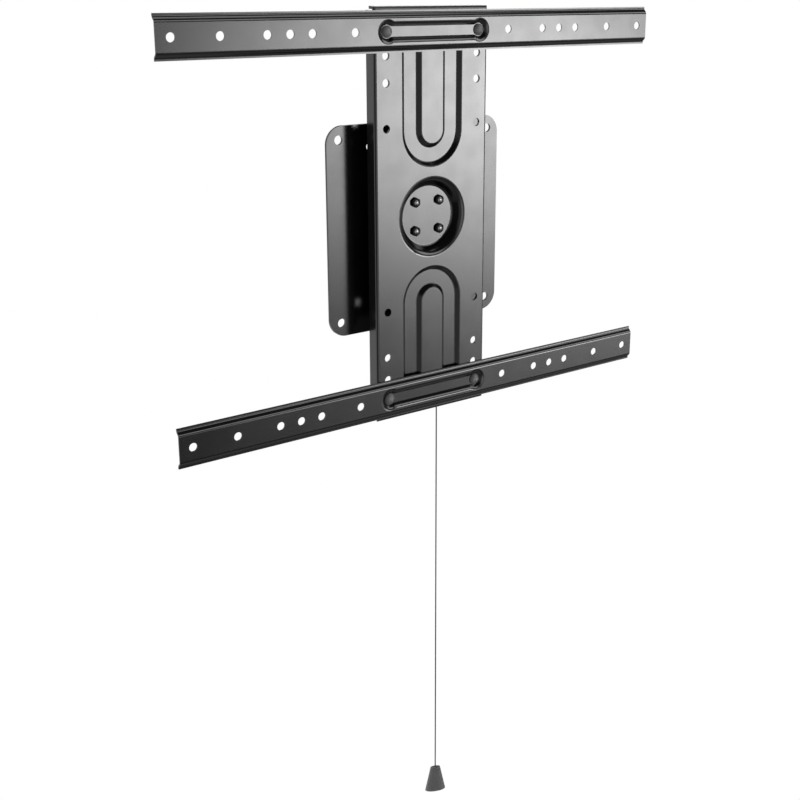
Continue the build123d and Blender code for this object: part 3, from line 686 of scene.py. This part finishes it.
def crimp(name, start, length, outer, centre):
    """Crimped sleeve: a cylinder with rounded ends whose middle is pinched along one direction by
    (1 + cos(2 u)) / 2 times a smooth hump of the height."""
    columns, rows = 40, 25
    pinched, rounded, steepness = 0.16, 0.1, 12
    u = np.arange(columns) * TURN / columns
    t = np.linspace(0, 1, rows)
    hump = np.sin(math.pi * t)[:, None] ** 2
    edge = np.minimum(1, np.minimum(t, 1 - t)[:, None] * steepness)
    pinch = 1 - pinched * hump * (1 + np.cos(2 * u)[None, :]) / 2
    pole = np.zeros((1, columns))
    radius = np.concatenate([
        pole, outer * (1 - rounded + rounded * np.sqrt(edge)) * pinch, pole])
    height = start + length * np.concatenate([[0], t, [1]])
    return body_from_rows(name, upright(radius, height, columns, centre), along=False)


def pull_knob(name, bottom, length, centre):
    """Flattened tapered knob, hollow below. Its section is a closed line: up the flank, round the
    top rim, across the top to the cord's hole, down the hole, out under the pocket's roof, down
    the pocket and round the base rim. Where the line is the outer skin, the distance from the axis
    in direction u is that of an ellipse, w f / sqrt((f cos v)^2 + sin(v)^2), with v = u - turn.
    The hole and the pocket are round."""
    base, top, flatness, turn = 13.2 * MM, 6.2 * MM, 0.42, math.radians(-24)
    lip, columns, flank_rows = 0.5 * MM, 96, 24
    quarter = np.linspace(0, math.pi / 2, 7)
    flank_h = np.linspace(lip, length - lip, flank_rows)
    flank_r = base + (top - base) * flank_h / length
    # The rims keep their rounding all round, so they are set in from the ellipse by a fixed amount.
    top_in = lip * (1 - np.cos(quarter[1:]))
    skin_in = np.concatenate([np.zeros(flank_rows), top_in, [0]])
    # The top dips towards the cord's hole, from half way in.
    dip_r, dip, edge_dip, sink = 0.55 * top, 0.2 * MM, 0.25 * MM, 0.6 * MM
    skin_r = np.concatenate([flank_r, np.full(len(top_in), flank_r[-1]), [dip_r]])
    skin_h = np.concatenate([flank_h, length - lip + lip * np.sin(quarter[1:]), [length - dip]])
    foot_in = lip * (1 - np.sin(quarter[:-1]))
    foot_h = lip - lip * np.cos(quarter[:-1])
    v = np.arange(columns) * TURN / columns - turn
    ellipse = (flatness / np.sqrt((flatness * np.cos(v)) ** 2 + np.sin(v) ** 2))[None, :]
    skin = skin_r[:, None] * ellipse - skin_in[:, None]
    foot = flank_r[0] * ellipse - foot_in[:, None]
    hole, pocket, depth = 1.1 * MM, 2.5 * MM, 10.0 * MM
    hole_edge, roof_edge, mouth_edge = 0.3 * MM, 0.4 * MM, 0.3 * MM
    inner_r = np.array([
        hole + hole_edge, hole, hole, pocket - roof_edge, pocket, pocket, pocket + mouth_edge])
    inner_h = np.array([
        length - edge_dip, length - sink, depth, depth, depth - roof_edge, mouth_edge, 0.0])
    inner = np.broadcast_to(inner_r[:, None], (len(inner_r), columns))
    radius = np.concatenate([skin, inner, foot])
    height = bottom + np.concatenate([skin_h, inner_h, foot_h])
    return body_from_rows(name, upright(radius, height, columns, centre))


class MOUNT_OT_stage(bpy.types.Operator):
    """Floor, studio light and camera"""

    bl_idname = "mount.stage"
    bl_label = "Studio"

    def execute(self, context):
        stage = context.scene.mount_stage
        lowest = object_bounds()[0][2]
        half, floor_z = 12.0, lowest - stage.floor_drop
        corners = np.array([
            [[-half, -half, floor_z], [half, -half, floor_z]],
            [[-half, half, floor_z], [half, half, floor_z]]])
        floor = body_from_rows("studio_floor", corners, around=False, along=False)
        made, nodes, _ = material("pale_floor")
        glow = nodes.add("ShaderNodeEmission", {"Color": (1, 1, 1, 1), "Strength": stage.backdrop})
        out = nodes.add("ShaderNodeOutputMaterial")
        made.node_tree.links.new(glow.outputs[0], out.inputs["Surface"])
        floor.data.materials.append(made)
        floor.visible_glossy = False
        floor.visible_diffuse = False
        floor.visible_shadow = False
        floor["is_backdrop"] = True
        studio_light(context.scene, stage)
        studio_camera(context.scene)
        return {"FINISHED"}


def studio_light(scene, stage):
    """World of soft light. A direction's azimuth runs from the viewer's side towards the right, its
    rear azimuth from the wall's side towards the left, and its elevation from the horizon up, in
    degrees. Each light is the product of smooth steps up and down in two of these angles."""
    world = bpy.data.worlds.new("studio")
    world.use_nodes = True
    scene.world = world
    nodes = Nodes(world.node_tree)
    looking = nodes.add("ShaderNodeTexCoord").outputs["Generated"]
    direction = nodes.add("ShaderNodeSeparateXYZ", {0: looking}).outputs

    def angle(a, b):
        return nodes.math("MULTIPLY", nodes.math("ARCTAN2", a, b), 180 / math.pi)

    def minus(value):
        return nodes.math("MULTIPLY", value, -1.0)

    azimuth = angle(direction[0], minus(direction[1]))
    rear_azimuth = angle(minus(direction[0]), direction[1])
    elevation = nodes.math("MULTIPLY", nodes.math("ARCSINE", direction[2]), 180 / math.pi)

    def window(value, rise, fall):
        rising = nodes.ramp(value, *rise, 0.0, 1.0)
        falling = nodes.ramp(value, *fall, 1.0, 0.0)
        return nodes.math("MULTIPLY", rising, falling)

    # Brightness, angle round the object, where it rises and falls in that angle and in elevation
    total = stage.ambient
    for strength, around, turn_rise, turn_fall, height_rise, height_fall in (
        (stage.softbox, azimuth, (22, 41), (38, 54), (-17.5, -5.2), (-5, 3.5)),
        (stage.table, azimuth, (18, 44), (60, 80), (-32, -24), (-12, 0)),
        (stage.ground, azimuth, (-200, -190), (190, 200), (-120, -100), (-50, -34)),
        (stage.top_light, azimuth, (10, 30), (60, 85), (13, 21), (30, 40)),
        (stage.overhead, azimuth, (66, 82), (100, 120), (48, 56), (70, 85)),
        (stage.left_light, azimuth, (-150, -130), (-105, -88), (8, 20), (50, 65)),
        (stage.fill, azimuth, (-64, -54), (10, 24), (-45, -25), (10, 30)),
        (stage.front, azimuth, (-26, -10), (4, 18), (-30, -18), (0, 15)),
        (stage.side, azimuth, (-120, -105), (-88, -80), (-40, -25), (5, 20)),
        (stage.side, azimuth, (76, 90), (98, 108), (-40, -25), (5, 20)),
        (stage.rear, rear_azimuth, (-50, -38), (-24, -8), (-35, -22), (0, 15)),
        (stage.rear, rear_azimuth, (-14, -6), (8, 22), (-35, -22), (0, 15)),
        (stage.backdrop, rear_azimuth, (-30, -5), (75, 95), (-90, -80), (80, 90)),
    ):
        spread = window(around, turn_rise, turn_fall)
        light = nodes.math("MULTIPLY", spread, window(elevation, height_rise, height_fall))
        total = nodes.math("ADD", nodes.math("MULTIPLY", light, strength), total)
    seen = nodes.add("ShaderNodeLightPath").outputs["Is Camera Ray"]
    plain = (1, 1, 1, 1)
    light = nodes.add("ShaderNodeBackground", {"Color": plain, "Strength": total})
    white = nodes.add("ShaderNodeBackground", {"Color": plain, "Strength": stage.backdrop})
    mix = nodes.add("ShaderNodeMixShader", {0: seen, 1: light.outputs[0], 2: white.outputs[0]})
    out = nodes.add("ShaderNodeOutputWorld")
    world.node_tree.links.new(mix.outputs[0], out.inputs["Surface"])


def studio_camera(scene):
    """Camera fitted to the photograph: turned to the right, looking down and rolled a little."""
    data = bpy.data.cameras.new("camera")
    data.lens = 59.859
    data.sensor_width = 36.0
    data.shift_x = -0.19375
    data.shift_y = -0.05
    camera = bpy.data.objects.new("camera", data)
    turn, down, roll = math.radians(-42.154), math.radians(17.511), math.radians(1.789)
    place = Matrix.Translation((-0.86627, -1.19932, 0.30740))
    aim = Euler((math.pi / 2 - down, 0, turn)).to_matrix().to_4x4()
    camera.matrix_world = place @ aim @ Matrix.Rotation(roll, 4, "Z")
    scene.collection.objects.link(camera)
    scene.camera = camera
    scene.view_settings.view_transform = "Standard"


class MOUNT_PT_panel(bpy.types.Panel):
    """Lists the steps that build the mount"""

    bl_label = "Swivel TV wall mount"
    bl_idname = "MOUNT_PT_panel"
    bl_space_type = "VIEW_3D"
    bl_region_type = "UI"
    bl_category = "Wall Mount"

    def draw(self, context):
        layout, scene = self.layout, context.scene
        for step in STEPS:
            layout.operator(step.bl_idname)
        for group in (scene.mount_sizes, scene.mount_colours, scene.mount_stage):
            box = layout.box()
            for name in type(group).__annotations__:
                box.prop(group, name)


STEPS = (
    MOUNT_OT_sheet_parts,
    MOUNT_OT_hidden_parts,
    MOUNT_OT_hub_fasteners,
    MOUNT_OT_rail_fasteners,
    MOUNT_OT_latch_fasteners,
    MOUNT_OT_pull_cord,
    MOUNT_OT_stage,
)
GROUPS = (MountSizes, MountColours, MountStage)


def register():
    for cls in (*GROUPS, *STEPS, MOUNT_PT_panel):
        bpy.utils.register_class(cls)
    bpy.types.Scene.mount_sizes = bpy.props.PointerProperty(type=MountSizes)
    bpy.types.Scene.mount_colours = bpy.props.PointerProperty(type=MountColours)
    bpy.types.Scene.mount_stage = bpy.props.PointerProperty(type=MountStage)


def unregister():
    del bpy.types.Scene.mount_sizes
    del bpy.types.Scene.mount_colours
    del bpy.types.Scene.mount_stage
    for cls in reversed((*GROUPS, *STEPS, MOUNT_PT_panel)):
        bpy.utils.unregister_class(cls)


def main():
    register()
    bpy.ops.mount.sheet_parts()
    bpy.ops.mount.hidden_parts()
    bpy.ops.mount.hub_fasteners()
    bpy.ops.mount.rail_fasteners()
    bpy.ops.mount.latch_fasteners()
    bpy.ops.mount.pull_cord()
    bpy.ops.mount.stage()


if __name__ == "__main__":
    main()
